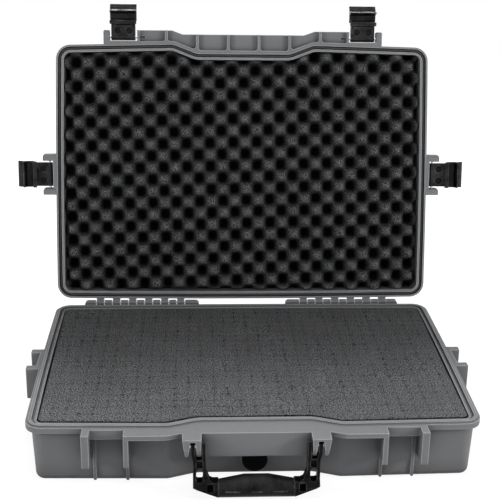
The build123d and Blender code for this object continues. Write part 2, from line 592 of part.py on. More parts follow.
def make_lid():
    """Lid shell, drawn hanging from the rim plane like the base, then turned over."""
    shelf = Pos(0, 0, -LID_SHELF_THICKNESS) * extrude(shelf_outline(), LID_SHELF_THICKNESS)
    shell = tub(LID_HEIGHT - RIM_GAP, LID_MOUTH_INSET, LID_FLOOR_INSET) + (shelf - shelf_pockets())
    for name, place in STATIONS.items():
        shell = shell + place * catch_lip(LIP_HEIGHT)
        ears = guards(lambda t: ear(t, EAR_HEIGHT, ear_corners(name)), station_sides(name)[1])
        shell = shell + [place * piece for piece in ears]
    for group in ([latch_bore(place) for place in STATIONS.values()],
                  rim_ring(GROOVE_START, GROOVE_END, -GROOVE_DEPTH, 1)):
        shell = shell - group
    shell = Pos(0, 0, RIM_GAP) * mirror(shell, about=Plane.XY)
    _, fingers = hinge_sets()
    for piece in fingers:
        shell = shell + mirrored(piece)
    return shell - mirrored(hinge_bore())


def make_seal():
    """O-ring at the bottom of the lid's groove."""
    middle = (GROOVE_START + GROOVE_END) / 2
    ceiling = RIM_GAP + GROOVE_DEPTH
    ring = rim_ring(middle - SEAL_RADIUS, middle + SEAL_RADIUS, ceiling - 2 * SEAL_RADIUS, ceiling)
    edges = [e for e in ring.edges() if abs(e.center().Z - ceiling) < 0.01 or
             abs(e.center().Z - ceiling + 2 * SEAL_RADIUS) < 0.01]
    return chamfer(edges, SEAL_RADIUS * 0.58)


# ------------------------------------------------------------------ latches, drawn closed
def latch_point(out, down):
    """(y, z) of a point measured outwards and down from the latch pin."""
    return (-out, -down)


def latch_profile(pairs, x0, x1):
    """Profile of (out, down) pairs, extruded across the latch."""
    return prism_x([latch_point(out, down) for out, down in pairs], x0, x1)


def lever_axis_rod(x0, x1, radius):
    """Round bar on the lever pin's axis."""
    return rod_x(x0, x1, *latch_point(LEVER_PIN_OUT, LEVER_PIN_DOWN), radius)


LEVER_RADIUS = PLATE_OUTER - LEVER_PIN_OUT


def make_arm():
    """Latch arm: barrel on the lid's pin, ribbed plate and two cheeks for the lever pin."""
    half = ARM_WIDTH / 2
    neck = LEVER_PIN_DOWN - LEVER_RADIUS
    barrel = rod_x(-half, half, 0, 0, ARM_BARREL_RADIUS)
    plate = latch_profile([(-ARM_RIB_DEPTH, 2.5), (0, 0), (PLATE_OUTER - 0.8, -1.5), (PLATE_OUTER, 1),
                           (PLATE_OUTER, neck - 0.5), (PLATE_OUTER - 0.8, neck + 0.3),
                           (-ARM_RIB_DEPTH, neck + 1)], -half, half)
    for x in (-half / 2, half / 2):
        plate -= Pos(x, 6 - PLATE_INNER, -(neck + 2.5) / 2) * Rot(90, 0, 0) * Cylinder(SADDLE_RADIUS, 12)
    knuckles = latch_profile([(-ARM_RIB_DEPTH, neck - 2), (PLATE_INNER + 0.8, neck - 2),
                              (PLATE_INNER + 0.8, LEVER_PIN_DOWN), (-ARM_RIB_DEPTH, LEVER_PIN_DOWN)], -half, half)
    knuckles += lever_axis_rod(-half, half, LEVER_RADIUS)
    room = KNUCKLE_HALF + KNUCKLE_SPLIT
    arm = barrel + plate + knuckles
    arm -= lever_axis_rod(-room, room, LEVER_RADIUS + KNUCKLE_SPLIT)
    arm -= latch_profile([(-9, LEVER_PIN_DOWN - 2), (9, LEVER_PIN_DOWN - 2), (9, LEVER_PIN_DOWN + 8),
                          (-9, LEVER_PIN_DOWN + 8)], -room, room)
    arm -= rod_x(-half - 1, half + 1, 0, 0, LATCH_PIN_RADIUS + PIN_CLEARANCE)
    return arm - lever_axis_rod(-half - 1, half + 1, LEVER_PIN_RADIUS + PIN_CLEARANCE)


def make_lever():
    """Latch lever: hook under the catch, blade, stiffening tooth and finger tip."""
    half = LATCH_WIDTH / 2
    top = LATCH_PIN_UP + CATCH_HEIGHT + HOOK_GAP
    hook = latch_profile([(HOOK_REACH + 0.6, top), (LEVER_PIN_OUT - 3, top), (LEVER_PIN_OUT - 3, top + HOOK_HEIGHT),
                          (HOOK_REACH, top + HOOK_HEIGHT), (HOOK_REACH, top + 0.6)], -half, half)
    blade = latch_profile([(PLATE_INNER, LEVER_PIN_DOWN), (PLATE_OUTER, LEVER_PIN_DOWN), (PLATE_OUTER, 37.0),
                           (PLATE_OUTER + TIP_FLARE, LATCH_LENGTH - 0.8), (PLATE_OUTER + TIP_FLARE - 1.2, LATCH_LENGTH),
                           (PLATE_INNER, 38.0)], -half, half)
    tooth = latch_profile([(PLATE_INNER + 0.5, TOOTH_DOWN - TOOTH_HALF_BASE), (TOOTH_REACH, TOOTH_DOWN - 0.4),
                           (TOOTH_REACH, TOOTH_DOWN + 0.4), (PLATE_INNER + 0.5, TOOTH_DOWN + TOOTH_HALF_BASE)],
                          -half, half)
    lever = hook + blade + tooth
    for side in (-1, 1):
        lever -= lever_axis_rod(side * KNUCKLE_HALF, side * (half + 1), LEVER_RADIUS + KNUCKLE_SPLIT)
    lever += lever_axis_rod(-KNUCKLE_HALF, KNUCKLE_HALF, LEVER_RADIUS)
    return lever - lever_axis_rod(-half - 1, half + 1, LEVER_PIN_RADIUS + PIN_CLEARANCE)


def make_latch_parts(name):
    """Arm, lever, lever pin and lid pin of one latch, drawn closed at the lid pin."""
    half = ARM_WIDTH / 2
    left, right = station_sides(name)[1]
    lid_pin = rod_x(-STATION_EDGE - left + 0.6, STATION_EDGE + right - 0.6, 0, 0, LATCH_PIN_RADIUS)
    lever_pin = lever_axis_rod(-half + 0.2, half - 0.2, LEVER_PIN_RADIUS)
    return {"latch_arm": make_arm(), "latch_lever": make_lever(), "lever_pin": lever_pin}, lid_pin


# ------------------------------------------------------------------ assembly
def open_lid(solid):
    """Swing a closed-lid solid to the open stop."""
    return solid.rotate(HINGE_AXIS, -LID_OPEN)


def assemble():
    """Every node, placed about the rim plane in the rest pose."""
    parts = {"base_shell": make_base()}
    parts["base_foam_pad"], parts["base_pluck_foam"] = make_base_foams()
    parts["valve_body"], parts["valve_gasket"], parts["valve_nut"], parts["valve_knob"] = make_valve()
    parts["handle_frame"], parts["handle_grip"] = make_handle()
    hinge_pin = rod_x(PIN_INNER, PIN_OUTER, HINGE_Y, HINGE_ABOVE, HINGE_PIN_RADIUS)
    parts["hinge_pin_right"], parts["hinge_pin_left"] = mirrored(hinge_pin)
    parts["handle_pin_right"], parts["handle_pin_left"] = mirrored(handle_pin())
    parts["lid_shell"] = open_lid(make_lid())
    parts["lid_seal"] = open_lid(make_seal())
    parts["lid_foam"] = open_lid(make_lid_foam())
    for name, place in STATIONS.items():
        at_pin = place * Pos(0, -LATCH_PIN_OUT, LATCH_PIN_UP)
        moving, lid_pin = make_latch_parts(name)
        for kind, solid in moving.items():
            parts[f"{kind}_{name}"] = open_lid(at_pin * Rot(-LATCH_SWING, 0, 0) * solid)
        parts[f"latch_pin_{name}"] = open_lid(at_pin * lid_pin)
    return parts


if __name__ == "__main__":
    for node, solid in assemble().items():
        export_step(Pos(0, 0, BASE_HEIGHT) * solid, f"parts/{node}.step")
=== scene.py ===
"""Laptop hard case standing open: materials, foams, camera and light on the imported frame."""

import json
from math import atan2, cos, exp, pi, prod, radians, sin, tan, tanh

import bmesh
import bpy
from mathutils import Matrix, Vector, noise
from mathutils.bvhtree import BVHTree

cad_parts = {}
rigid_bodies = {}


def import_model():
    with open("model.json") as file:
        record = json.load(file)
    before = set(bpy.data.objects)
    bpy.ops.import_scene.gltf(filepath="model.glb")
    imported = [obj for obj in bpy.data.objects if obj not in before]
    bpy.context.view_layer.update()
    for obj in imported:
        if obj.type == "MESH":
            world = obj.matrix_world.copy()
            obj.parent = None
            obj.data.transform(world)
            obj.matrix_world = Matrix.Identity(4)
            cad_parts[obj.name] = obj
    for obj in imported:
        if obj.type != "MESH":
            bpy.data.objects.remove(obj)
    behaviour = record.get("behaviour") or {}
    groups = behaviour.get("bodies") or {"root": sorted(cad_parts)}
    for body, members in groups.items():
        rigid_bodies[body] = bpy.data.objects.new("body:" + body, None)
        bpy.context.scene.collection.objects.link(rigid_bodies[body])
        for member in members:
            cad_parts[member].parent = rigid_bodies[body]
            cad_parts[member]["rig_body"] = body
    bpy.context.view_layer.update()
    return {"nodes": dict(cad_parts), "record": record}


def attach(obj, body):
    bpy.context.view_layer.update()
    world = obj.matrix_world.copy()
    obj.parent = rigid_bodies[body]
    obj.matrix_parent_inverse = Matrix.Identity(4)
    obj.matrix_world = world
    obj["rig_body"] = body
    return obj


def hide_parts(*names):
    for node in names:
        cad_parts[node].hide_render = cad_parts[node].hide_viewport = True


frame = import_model()
MM = 0.001

# ------------------------------------------------------------------ driving sizes of the case, mm
RIM_Z = 69.0                                 # rim plane above the underside
CASE_WIDTH, FRONT_WIDTH, CASE_DEPTH = 500.0, 490.0, 343.0
REAR_BOW, FRONT_BOW = 1.9, 4.0
CORNER_RADIUS = 19.0
RECESS_DEPTH, RECESS_HALF_TOP, RECESS_HALF_FLOOR, RECESS_RADIUS = 11.8, 92.0, 61.0, 22.0
LID_HEIGHT, RIM_GAP, WALL = 50.0, 0.3, 4.0
CAVITY_INSET, LID_MOUTH_INSET, LID_FLOOR_INSET = 11.7, 9.8, 12.0
HINGE_Y, HINGE_Z = CASE_DEPTH / 2 + 5.3, RIM_Z + 1.0
LID_OPEN = 100.0                             # degrees


# ------------------------------------------------------------------ node trees
AVERAGED_RAYS = 6                            # samples of each bevel and occlusion node
DEEP, OPEN = 0.3, 0.95                       # occlusion deep in a corner, and where it stops counting
SHARP, FLAT = 0.75, 0.985                    # bevelled against true normal, on a sharp edge and on a face
ROUGHNESS_SWING = 0.08


class Nodes:
    """Builds the node tree of a material or of the world."""

    def __init__(self, owner, output):
        owner.use_nodes = True
        self.tree = owner.node_tree
        self.tree.nodes.clear()
        self.output = self.add(output)

    def add(self, kind, **values):
        """New node; a value is for the socket of its name, or else for the node itself."""
        node = self.tree.nodes.new(kind)
        for key, value in values.items():
            if key in node.inputs:
                node.inputs[key].default_value = value
            else:
                setattr(node, key, value)
        return node

    def link(self, source, target):
        self.tree.links.new(source, target)

    def show(self, shader):
        self.link(shader.outputs[0], self.output.inputs["Surface"])

    def spread(self, value, low, high, start=0.3, end=0.7):
        """Low where the value is at the start, high at the end."""
        node = self.add("ShaderNodeMapRange")
        for name, number in (("From Min", start), ("From Max", end), ("To Min", low), ("To Max", high)):
            node.inputs[name].default_value = number
        self.link(value, node.inputs["Value"])
        return node.outputs[0]

    def math(self, operation, a, b):
        node = self.add("ShaderNodeMath", operation=operation)
        self.link(a, node.inputs[0])
        self.link(b, node.inputs[1])
        return node.outputs[0]

    def plain_view(self):
        """1 where the camera, a reflection or a refraction looks, 0 where light is gathered."""
        path = self.add("ShaderNodeLightPath").outputs
        reflected = self.math("MAXIMUM", path["Is Camera Ray"], path["Is Glossy Ray"])
        return self.math("MAXIMUM", reflected, path["Is Transmission Ray"])


class Surface(Nodes):
    """A material with one principled shader, patterned in object space."""

    def __init__(self, name):
        self.material = bpy.data.materials.new(name)
        super().__init__(self.material, "ShaderNodeOutputMaterial")
        self.shader = self.add("ShaderNodeBsdfPrincipled")
        self.show(self.shader)
        self.coords = self.add("ShaderNodeTexCoord").outputs["Object"]

    def set(self, socket, value):
        self.shader.inputs[socket].default_value = value

    def drive(self, socket, source):
        self.link(source, self.shader.inputs[socket])

    def pattern(self, kind, **values):
        """A texture over object space; its scale is in features per metre."""
        node = self.add(kind, **values)
        self.link(self.coords, node.inputs["Vector"])
        return node.outputs

    def noise(self, scale, detail=3.0, roughness=0.55):
        return self.pattern("ShaderNodeTexNoise", Scale=scale, Detail=detail, Roughness=roughness)[0]

    def blend(self, factor, dark, light):
        """Colour between two, by a factor."""
        node = self.add("ShaderNodeMix", data_type="RGBA")
        node.inputs["A"].default_value = (*dark, 1)
        node.inputs["B"].default_value = (*light, 1)
        self.link(factor, node.inputs["Factor"])
        return node.outputs["Result"]

    def scaled(self, colour, factor):
        """Colour times a value."""
        node = self.add("ShaderNodeVectorMath", operation="SCALE")
        self.link(colour, node.inputs[0])
        self.link(factor, node.inputs["Scale"])
        return node.outputs[0]

    def bump(self, height, distance, strength=1.0, normal=None):
        node = self.add("ShaderNodeBump", Distance=distance, Strength=strength)
        self.link(height, node.inputs["Height"])
        if normal:
            self.link(normal, node.inputs["Normal"])
        return node.outputs[0]

    def bevel(self, radius):
        return self.add("ShaderNodeBevel", Radius=radius, samples=AVERAGED_RAYS).outputs[0]

    def corners(self, reach, darkest):
        """1 in the open, darker deep in corners, as painted shade where light is lost."""
        node = self.add("ShaderNodeAmbientOcclusion", Distance=reach, samples=AVERAGED_RAYS)
        return self.spread(node.outputs["AO"], darkest, 1.0, DEEP, OPEN)

    def edges(self, width, lift):
        """1 on faces, more along edges, where a highlight is painted."""
        dot = self.add("ShaderNodeVectorMath", operation="DOT_PRODUCT")
        self.link(self.bevel(width), dot.inputs[0])
        self.link(self.add("ShaderNodeNewGeometry").outputs["Normal"], dot.inputs[1])
        return self.spread(dot.outputs["Value"], 1 + lift, 1.0, SHARP, FLAT)

    def uneven_roughness(self, roughness, scale, detail):
        low, high = roughness - ROUGHNESS_SWING, roughness + ROUGHNESS_SWING
        self.drive("Roughness", self.spread(self.noise(scale, detail), low, high))


# ------------------------------------------------------------------ materials
COOL = (0.985, 1.0, 1.03)                    # plastic and foam are slightly cool greys
NEUTRAL = (1.0, 1.0, 1.0)

# patterns, in features per metre: patches of roughness, waves, ribs and grain of moulded plastic,
# pores and mottling of foam, streaks and scratches of wire
PATCH_SCALE, WAVE_SCALE, RIB_SCALE, GRAIN_SCALE = 90, 95, 70, 2600
PORE_SCALE, MOTTLE_SCALE = 700, 22
STREAK_SCALE, SCRATCH_SCALE = 300, 900

CORNER_REACH, EDGE_HIGHLIGHT_WIDTH = 0.028, 0.0022     # reach of painted shade in corners and width of the painted edge highlight on moulded plastic, m
BUMPY, GRAINY = 1.0, 0.6                     # strength of waves and ribs, and of the grain
FOAM_ROUGHNESS, FOAM_GLOSS = 0.95, 0.05
CELL_HEIGHT, CELL_STRENGTH, CELLS_PER_PORE = 0.0004, 0.7, 1.3
MOTTLE_DARK, MOTTLE_LIGHT = 0.9, 1.1
STREAK_DARK = 0.85

# Looks of the moulded pieces: value is the grey level, edge the radius of the edges in m, spread how far
# the tone strays, gloss the specular level, lift how much paler the painted edge highlight makes the edges,
# corner the darkest painted shade in corners and blotches the flow marks per metre, which on the black
# pieces with a wide spread are painted highlight. Heights of grain, waves and ribs are in m.
MOULDED = {
    "shell_plastic": dict(value=0.2, roughness=0.5, edge=0.0008, spread=0.035, gloss=0.15, lift=1.6,
                          corner=0.33),
    "latch_plastic": dict(value=0.018, roughness=0.24, edge=0.0006, spread=0.95, gloss=0.12, lift=4,
                          corner=0.15, blotches=70, grain=0.00001, waves=0.0009),
    "handle_plastic": dict(value=0.005, roughness=0.3, edge=0.0007, spread=0.9, gloss=0.05, lift=16,
                           corner=0.1, blotches=80, grain=0.00002, waves=0.0004),
    "grip_rubber": dict(value=0.016, roughness=0.4, edge=0.0007, spread=0.95, gloss=0.08, lift=10,
                        corner=0.15, blotches=60, grain=0.00005, ribs=0.0002),
    "valve_plastic": dict(value=0.005, roughness=0.5, edge=0.0006, gloss=0.04, lift=60),
    "seal_rubber": dict(value=0.03, roughness=0.6, edge=0.0004),
}

# Looks of the foams: dark and light are the grey levels of pores and cells, speckle is low for hard-edged
# pores. As painted shade, the tone falls to deepest between the two depths of a hollow or cut, and to the
# darkest corner tone in corners that are within reach, in m.
FOAMS = {
    "foam": dict(dark=0.012, light=0.265, speckle=0.08, deepest=0.1, depths=(0.0, 0.9), reach=0.3,
                 corner_shade=0.3),
    "egg_foam": dict(dark=0.01, light=0.18, speckle=0.1, deepest=0.03, depths=(0.12, 0.9), reach=0.02,
                     corner_shade=0.45),
}


def shade(value, tint=COOL):
    """Grey of this level in a tint."""
    return tuple(value * t for t in tint)


def moulded(name, value, roughness, edge, grain=0.00004, spread=0.06, gloss=0.5, waves=0.0,
            lift=0.35, corner=0.5, blotches=14, ribs=0.0):
    """Moulded plastic: fine grain, blotches of tone that are faint flow marks on the shell and painted
    highlight on the black pieces, wavy faces, rounded edges with a painted highlight, painted shade in
    corners.
    """
    surface = Surface(name)
    # blotches of tone: faint flow marks on the shell, painted highlight on the black pieces
    flow_marks_and_sheen = surface.spread(surface.noise(blotches, detail=4), 0, 1)
    colour = surface.blend(flow_marks_and_sheen, shade(value * (1 - spread)), shade(value * (1 + spread)))
    # painted shade in corners times a painted highlight along edges
    painted_shade_and_highlight = surface.math("MULTIPLY", surface.corners(CORNER_REACH, corner), surface.edges(EDGE_HIGHLIGHT_WIDTH, lift))
    surface.drive("Base Color", surface.scaled(colour, painted_shade_and_highlight))
    surface.uneven_roughness(roughness, PATCH_SCALE, detail=3)
    normal = surface.bevel(edge)
    if waves:
        normal = surface.bump(surface.noise(WAVE_SCALE, detail=2), waves, BUMPY, normal)
    if ribs:
        wave = surface.pattern("ShaderNodeTexWave", Scale=RIB_SCALE, Distortion=1.2, Detail=2)
        normal = surface.bump(wave["Fac"], ribs, BUMPY, normal)
    surface.drive("Normal", surface.bump(surface.noise(GRAIN_SCALE, detail=2), grain, GRAINY, normal))
    surface.set("Specular IOR Level", gloss)
    return surface.material


def open_cell(name, dark, light, speckle, deepest, depths, reach, corner_shade):
    """Open-cell foam: speckled pores, matt, with painted shade in its hollows, its cuts and its corners."""
    surface = Surface(name)
    pores = surface.noise(PORE_SCALE, detail=2, roughness=0.7)
    pores = surface.spread(pores, 0, 1, 0.5 - speckle, 0.5 + speckle)
    hollow = surface.add("ShaderNodeAttribute", attribute_name="hollow").outputs["Fac"]
    mottled = surface.spread(surface.noise(MOTTLE_SCALE, detail=3), MOTTLE_DARK, MOTTLE_LIGHT)
    # painted shade down the hollows and cuts that the hollow layer marks
    tone = surface.math("MULTIPLY", mottled, surface.spread(hollow, 1.0, deepest, *depths))
    # painted shade within reach of the walls, the open lid and the foam's own bumps
    tone = surface.math("MULTIPLY", tone, surface.corners(reach, corner_shade))
    surface.drive("Base Color", surface.scaled(surface.blend(pores, shade(dark), shade(light)), tone))
    surface.set("Roughness", FOAM_ROUGHNESS)
    surface.set("Specular IOR Level", FOAM_GLOSS)
    cells = surface.pattern("ShaderNodeTexVoronoi", Scale=PORE_SCALE * CELLS_PER_PORE)
    surface.drive("Normal", surface.bump(cells["Distance"], CELL_HEIGHT, CELL_STRENGTH))
    return surface.material


def steel_wire(name, value, roughness):
    """Drawn steel wire: fine streaks in its tone and roughness."""
    surface = Surface(name)
    streaks = surface.noise(STREAK_SCALE, detail=3)
    tones = shade(value * STREAK_DARK, NEUTRAL), shade(value, NEUTRAL)
    surface.drive("Base Color", surface.blend(streaks, *tones))
    surface.set("Metallic", 1.0)
    surface.uneven_roughness(roughness, SCRATCH_SCALE, detail=2)
    return surface.material


MATERIALS = {name: moulded(name, **look) for name, look in MOULDED.items()}
MATERIALS |= {name: open_cell(name, **look) for name, look in FOAMS.items()}
MATERIALS["pin_steel"] = steel_wire("pin_steel", value=0.5, roughness=0.35)

for part in frame["record"]["subparts"]:
    node = frame["nodes"][part["node"]]
    node.data.materials.clear()
    node.data.materials.append(MATERIALS[part["material_slot"]])


# ------------------------------------------------------------------ mesh helpers
def add_object(name, data):
    obj = bpy.data.objects.new(name, data)
    bpy.context.scene.collection.objects.link(obj)
    return obj


def mesh_object(name, bm):
    """Turns a bmesh into an object and frees it."""
    mesh = bpy.data.meshes.new(name)
    bm.to_mesh(mesh)
    bm.free()
    return add_object(name, mesh)


def steps(low, high, count):
    """Evenly spaced values from low to high, both included."""
    return [low + (high - low) * i / count for i in range(count + 1)]


def add_sheet(bm, rows):
    """Fills a grid of vertices with quads."""
    for near, far in zip(rows, rows[1:]):
        for k in range(len(near) - 1):
            bm.faces.new((near[k], near[k + 1], far[k + 1], far[k]))


def add_band(bm, first, second):
    """Joins two loops of as many vertices with quads."""
    for k in range(len(first)):
        bm.faces.new((first[k - 1], first[k], second[k], second[k - 1]))


def border(rows):
    """The outer vertices of a grid, in order."""
    first, last = rows[0], rows[-1]
    return first + [row[-1] for row in rows[1:]] + last[-2::-1] + [row[0] for row in rows[-2:0:-1]]


def grid_block(name, xs, ys, height, floor):
    """Closed block on a grid: its top follows height(x, y), its floor is flat."""
    bm = bmesh.new()
    top = [[bm.verts.new((x, y, height(x, y))) for x in xs] for y in ys]
    add_sheet(bm, top)
    upper = border(top)
    lower = [bm.verts.new((v.co.x, v.co.y, floor)) for v in upper]
    add_band(bm, lower, upper)
    bm.faces.new(lower[::-1])
    bm.normal_update()
    return mesh_object(name, bm)


def trim(obj, foot, top, low, high):
    """Keeps what lies between an outline at the low height and one at the high."""
    bm = bmesh.new()
    lower = [bm.verts.new((p.x, p.y, low)) for p in foot]
    upper = [bm.verts.new((p.x, p.y, high)) for p in top]
    bm.faces.new(lower[::-1])
    bm.faces.new(upper)
    add_band(bm, lower, upper)
    bmesh.ops.recalc_face_normals(bm, faces=bm.faces)
    cutter = mesh_object("cutter", bm)
    modifier = obj.modifiers.new("trim", "BOOLEAN")
    modifier.operation, modifier.solver, modifier.object = "INTERSECT", "EXACT", cutter
    graph = bpy.context.evaluated_depsgraph_get()
    trimmed = bpy.data.meshes.new_from_object(obj.evaluated_get(graph))
    leftovers = obj.data, cutter.data
    obj.modifiers.clear()
    obj.data = trimmed
    bpy.data.objects.remove(cutter)
    for mesh in leftovers:
        bpy.data.meshes.remove(mesh)


# ------------------------------------------------------------------ outline of the cavity
def rounded(points, radii, pieces=6):
    """Polygon with its corners turned into arcs of the given radii."""
    out = []
    for i, (corner, radius) in enumerate(zip(points, radii)):
        before, after = Vector(points[i - 1]), Vector(points[(i + 1) % len(points)])
        corner = Vector(corner)
        back, ahead = (before - corner).normalized(), (after - corner).normalized()
        half = back.angle(ahead) / 2
        reach = radius / tan(half)
        centre = corner + (back + ahead).normalized() * (radius / sin(half))
        start, end = corner + back * reach - centre, corner + ahead * reach - centre
        turn = start.angle_signed(end)
        for k in range(pieces + 1):
            out.append(centre + Matrix.Rotation(-turn * k / pieces, 2) @ start)
    return out


def rim(inset):
    """The rim's outline moved inwards, anticlockwise, as points in mm."""
    rear, front = CASE_DEPTH / 2 - inset, -CASE_DEPTH / 2
    half, front_half = CASE_WIDTH / 2 - inset, FRONT_WIDTH / 2 - inset
    slope = FRONT_BOW / (FRONT_WIDTH / 2 - RECESS_HALF_TOP)
    step_angle = atan2(RECESS_DEPTH, RECESS_HALF_TOP - RECESS_HALF_FLOOR)
    knee_out = RECESS_HALF_TOP + tan((step_angle - slope) / 2) * inset
    knee_in = RECESS_HALF_FLOOR + tan(step_angle / 2) * inset
    corner = front + inset + slope * (front_half - RECESS_HALF_TOP)
    right = [(knee_in, front + RECESS_DEPTH + inset), (knee_out, front + inset), (front_half, corner),
             (half, rear - REAR_BOW)]
    radii = [RECESS_RADIUS + inset, RECESS_RADIUS - inset, CORNER_RADIUS - inset, CORNER_RADIUS - inset]
    points = right + [(-x, y) for x, y in reversed(right)]
    return rounded(points, radii + radii[::-1])


# ------------------------------------------------------------------ foams
# All in mm, from the middle of the case and the rim plane. Each block starts larger than its cavity and
# is then trimmed; a grid gives the block's low end, high end and number of steps along x and y.
FOAM_CLEARANCE = 0.3                         # between foam and shell or foam and foam, upright
SPARE = 1.0                                  # block that is cut off below the foam's underside
ROUND_CREASE, CUT_CREASE = radians(50), radians(35)      # steeper edges stay sharp

EGG_PITCH = 15.8                             # half pitch of the egg-crate bumps
EGG_X, EGG_Y = 4.2, -9.6                     # a bump's centre
EGG_TURN = radians(1.7)                      # the sheet is cut a little off its grid
EGG_SQUARE = 1.15                            # how square the bumps are
EGG_DEPTH = 19.0                             # crest to valley
EGG_RIPPLE, EGG_RIPPLE_LENGTH, EGG_RIPPLE_ROOM = 0.35, 11, 0.4     # the room keeps it below the crest
LID_FOAM_CREST, LID_FOAM_GAP = -2.0, 0.8     # its highest point, and its gap to the walls
LID_GRID = (-244, 244, 288), (-166, 168, 196)

CUT_PITCH = 14.75                            # scored foam's grid
CUT_PHASE_X, CUT_PHASE_Y = 16.3, -92.5
CUT_WIDTH, CUT_REACH = 0.7, 2.2              # of the gap, and of the foam that bends into it
CUT_SINK = 1.4                               # depth of a full mark
CUT_MARK, CUT_MARK_WIDTH = 0.18, 0.6         # strength and half width along a cut
CROSSING_MARK, CROSSING_AREA = 0.6, 2.2      # strength and size where two cuts cross, mm2
UNEVEN_MEAN, UNEVEN_SWING, UNEVEN_LENGTH = 0.6, 0.8, 19     # how the strength of the marks varies
SCORED_CREST, SCORED_SWELL, SCORED_SWELL_LENGTH = -0.4, 0.4, 60
SCORED_TOP_BAND, SCORED_ABOVE = 4, 5         # depth of what counts as the top face; end of the cutter
SCORED_SPAN = (-242, 242), (-162, 162)
FOAM_SIDE_GAP, FOAM_FRONT_GAP = 1.2, 4.4     # the scored foam has drawn back from the front

PAD_THICKNESS, PAD_TOP, PAD_RIPPLE, PAD_RIPPLE_LENGTH = 10.0, 9.6, 0.4, 30
PAD_INSET = CAVITY_INSET + 4.5               # the cavity narrows towards its floor
PAD_GRID = (-240, 240, 60), (-160, 165, 40)


def ripple(x, y, layer, length):
    """Smooth noise between -1 and 1 with waves of about this length."""
    return noise.noise(Vector((x, y, layer)) / length)


def finish_foam(obj, node, material, matrix, hollow, crease=ROUND_CREASE):
    """Places a foam made in mm, shades it, and lets it stand for its node."""
    # the hollow layer tells the foam's material where to paint shade
    layer = obj.data.attributes.new("hollow", "FLOAT", "POINT")
    for vertex, item in zip(obj.data.vertices, layer.data):
        item.value = hollow(vertex.co)
    obj.data.transform(matrix @ Matrix.Scale(MM, 4))
    if matrix.determinant() < 0:
        obj.data.flip_normals()
    obj.data.shade_smooth()
    obj.data.set_sharp_from_angle(angle=crease)
    obj.data.materials.clear()
    obj.data.materials.append(MATERIALS[material])
    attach(obj, "lid" if node.startswith("lid") else "case")
    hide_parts(node)


def egg_wave(x, y):
    """1 on a bump's crest, -1 at the bottom of a hollow; squarish bumps in straight rows."""
    x, y = x - EGG_X, y - EGG_Y
    along, across = x * cos(EGG_TURN) - y * sin(EGG_TURN), x * sin(EGG_TURN) + y * cos(EGG_TURN)
    return prod(tanh(EGG_SQUARE * cos(pi * v / EGG_PITCH)) / tanh(EGG_SQUARE) for v in (along, across))


def make_lid_foam():
    """Egg-crate foam, made face up and then turned into the open lid."""
    back = -(LID_HEIGHT - RIM_GAP - WALL - FOAM_CLEARANCE)

    def height(x, y):
        uneven = EGG_RIPPLE * ripple(x, y, 0, EGG_RIPPLE_LENGTH)
        return LID_FOAM_CREST - EGG_RIPPLE_ROOM + uneven - EGG_DEPTH * (1 - egg_wave(x, y)) / 2

    def hollow(p):
        return max(0.0, min(1.0, (LID_FOAM_CREST - p.z) / EGG_DEPTH))

    xs, ys = (steps(*axis) for axis in LID_GRID)
    obj = grid_block("lid_foam_egg_crate", xs, ys, height, back - SPARE)
    trim(obj, rim(LID_FLOOR_INSET + LID_FOAM_GAP), rim(LID_MOUTH_INSET + LID_FOAM_GAP), back, 0)
    turn_over = Matrix.Diagonal((1, 1, -1, 1))
    to_rim = Matrix.Translation((0, 0, (RIM_Z + RIM_GAP) * MM))
    pivot = Matrix.Translation((0, HINGE_Y * MM, HINGE_Z * MM))
    opened = pivot @ Matrix.Rotation(radians(-LID_OPEN), 4, "X") @ pivot.inverted()
    finish_foam(obj, "lid_foam", "egg_foam", opened @ to_rim @ turn_over, hollow)


def cut_lines(phase, low, high):
    """Grid positions across the scored foam, close together at each cut."""
    offsets = (-CUT_REACH, -CUT_WIDTH / 2, 0.0, CUT_WIDTH / 2, CUT_REACH, CUT_PITCH / 2)
    first = int((low - phase) / CUT_PITCH) - 1
    cuts = [phase + k * CUT_PITCH for k in range(first, first + int((high - low) / CUT_PITCH) + 4)]
    return [cut + offset for cut in cuts for offset in offsets if low <= cut + offset <= high]


def cut_marks(x, y):
    """0 on a cell of the scored foam, near 1 where two cuts cross."""
    dx, dy = (abs((v - phase + CUT_PITCH / 2) % CUT_PITCH - CUT_PITCH / 2)
              for v, phase in ((x, CUT_PHASE_X), (y, CUT_PHASE_Y)))
    uneven = UNEVEN_MEAN + UNEVEN_SWING * ripple(x, y, 7, UNEVEN_LENGTH)
    along_cut = CUT_MARK * exp(-(min(dx, dy) / CUT_MARK_WIDTH) ** 2)
    return uneven * (along_cut + CROSSING_MARK * exp(-(dx * dx + dy * dy) / CROSSING_AREA))


def make_base_foam():
    """Scored foam: soft square cells between thin cuts, which gape where they cross."""
    floor = -RIM_Z + WALL + FOAM_CLEARANCE + PAD_THICKNESS + FOAM_CLEARANCE

    def height(x, y):
        swell = SCORED_SWELL * ripple(x, y, 0, SCORED_SWELL_LENGTH)
        return SCORED_CREST - swell - CUT_SINK * cut_marks(x, y)

    def hollow(p):
        return cut_marks(p.x, p.y) if p.z > -SCORED_TOP_BAND else 0.0

    xs, ys = (cut_lines(phase, *span) for phase, span in zip((CUT_PHASE_X, CUT_PHASE_Y), SCORED_SPAN))
    obj = grid_block("base_foam_scored", xs, ys, height, floor - SPARE)
    outline = [Vector((p.x, p.y + (FOAM_FRONT_GAP - FOAM_SIDE_GAP if p.y < 0 else 0)))
               for p in rim(CAVITY_INSET + FOAM_SIDE_GAP)]
    trim(obj, outline, outline, floor, SCORED_ABOVE)
    finish_foam(obj, "base_pluck_foam", "foam", Matrix.Translation((0, 0, RIM_Z * MM)), hollow, CUT_CREASE)


